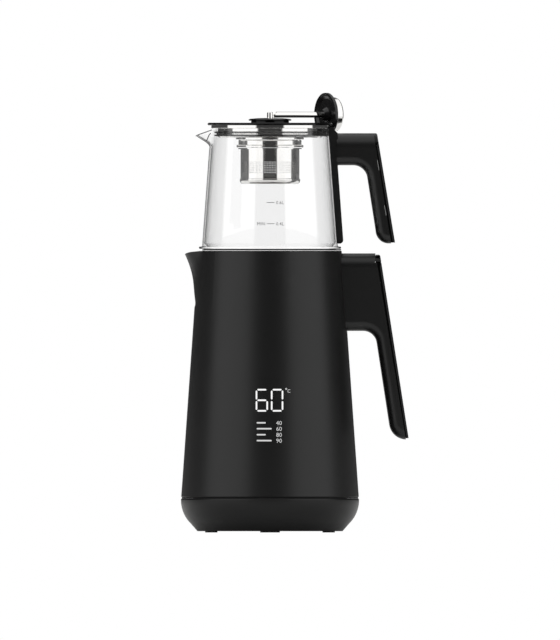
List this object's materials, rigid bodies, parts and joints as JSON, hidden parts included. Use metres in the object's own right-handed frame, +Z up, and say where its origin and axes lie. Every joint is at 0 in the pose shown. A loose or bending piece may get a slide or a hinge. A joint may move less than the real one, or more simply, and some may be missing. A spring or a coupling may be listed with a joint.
{
  "type": "tea maker",
  "caption": "Electric tea maker: black kettle on a power base, with a glass teapot, lid and tea basket stacked on top and a folding lift knob.",
  "frame": {"origin": "on the kettle's vertical axis, in the plane under the feet of the power base", "axes": "+Z up; the spouts point to -X, both handles to +X, the display faces -Y"},
  "size_m": [0.2084, 0.163, 0.4023],
  "materials": {
    "base_plastic": "satin black moulded plastic",
    "kettle_plastic": "satin black moulded plastic wall",
    "handle_plastic": "satin black moulded grip",
    "gloss_trim": "gloss black strip and button",
    "lid_plastic": "gloss black lid plastic",
    "inner_plastic": "plain inner moulding",
    "foot_rubber": "matt black rubber",
    "seal_silicone": "pale food-safe silicone",
    "vessel_steel": "brushed stainless steel",
    "polished_steel": "polished stainless steel",
    "basket_steel": "fine satin stainless steel",
    "screw_steel": "plated steel",
    "heater_aluminium": "cast and drawn aluminium",
    "contact_brass": "brass contact",
    "board_laminate": "green glass-fibre laminate",
    "pot_glass": "clear heat-proof glass"
  },
  "bodies": {
    "base": {"base_shell": "base_plastic", "base_bottom_cover": "base_plastic", "base_feet": "foot_rubber", "base_screws": "screw_steel", "base_connector": "inner_plastic", "base_contacts": "contact_brass", "base_cord_gland": "foot_rubber"},
    "coupler": {"kettle_coupler": "inner_plastic"},
    "kettle": {"kettle_shell": "kettle_plastic", "inner_vessel": "vessel_steel", "vessel_seal": "seal_silicone", "kettle_bottom_cover": "inner_plastic", "kettle_cover_screws": "screw_steel", "heater_plate": "heater_aluminium", "heating_element": "heater_aluminium", "temperature_sensor": "vessel_steel", "control_board": "board_laminate", "board_relay": "inner_plastic", "display_module": "board_laminate", "kettle_handle": "handle_plastic", "kettle_handle_cover": "gloss_trim", "kettle_handle_screws": "screw_steel", "button_spring": "screw_steel", "button_switch": "inner_plastic"},
    "button": {"power_button": "gloss_trim"},
    "pot": {"pot_glass": "pot_glass", "pot_foot_ring": "seal_silicone", "pot_strap": "handle_plastic", "pot_handle": "handle_plastic", "pot_handle_cover": "gloss_trim", "pot_handle_screws": "screw_steel"},
    "lid": {"lid_plate": "lid_plastic", "lid_band": "polished_steel", "lid_plug": "polished_steel", "lid_gasket": "seal_silicone", "lid_collar": "lid_plastic", "guide_bush": "inner_plastic", "infuser_rod": "polished_steel", "infuser_cover": "polished_steel", "hinge_pin": "polished_steel"},
    "basket": {"tea_basket": "basket_steel"},
    "knob": {"knob_rod": "polished_steel", "knob_disc": "lid_plastic", "knob_cap": "polished_steel", "knob_screw": "screw_steel"}
  },
  "joints": [
    {"name": "kettle_lift", "type": "slide", "parent": "base", "child": "coupler", "axis": [0, 0, 1], "range_m": [0, 0.06]},
    {"name": "kettle_turn", "type": "hinge", "parent": "coupler", "child": "kettle", "pos_m": [0, 0, 0.04], "axis": [0, 0, 1], "continuous": true},
    {"name": "button_press", "type": "slide", "parent": "kettle", "child": "button", "axis": [0, 0, -1], "range_m": [0, 0.0008], "stiffness_N_per_m": 500, "springref_m": -0.0004, "deforming": ["button_spring"]},
    {"name": "pot_lift", "type": "slide", "parent": "kettle", "child": "pot", "axis": [0, 0, 1], "range_m": [0, 0.06]},
    {"name": "lid_lift", "type": "slide", "parent": "pot", "child": "lid", "axis": [0, 0, 1], "range_m": [0, 0.07]},
    {"name": "basket_drop", "type": "slide", "parent": "lid", "child": "basket", "axis": [0, 0, -1], "range_m": [0, 0.05]},
    {"name": "knob_fold", "type": "hinge", "parent": "lid", "child": "knob", "pos_m": [0, 0, 0.3823], "axis": [0.5, -0.866, 0], "range_deg": [0, 90]}
  ]
}
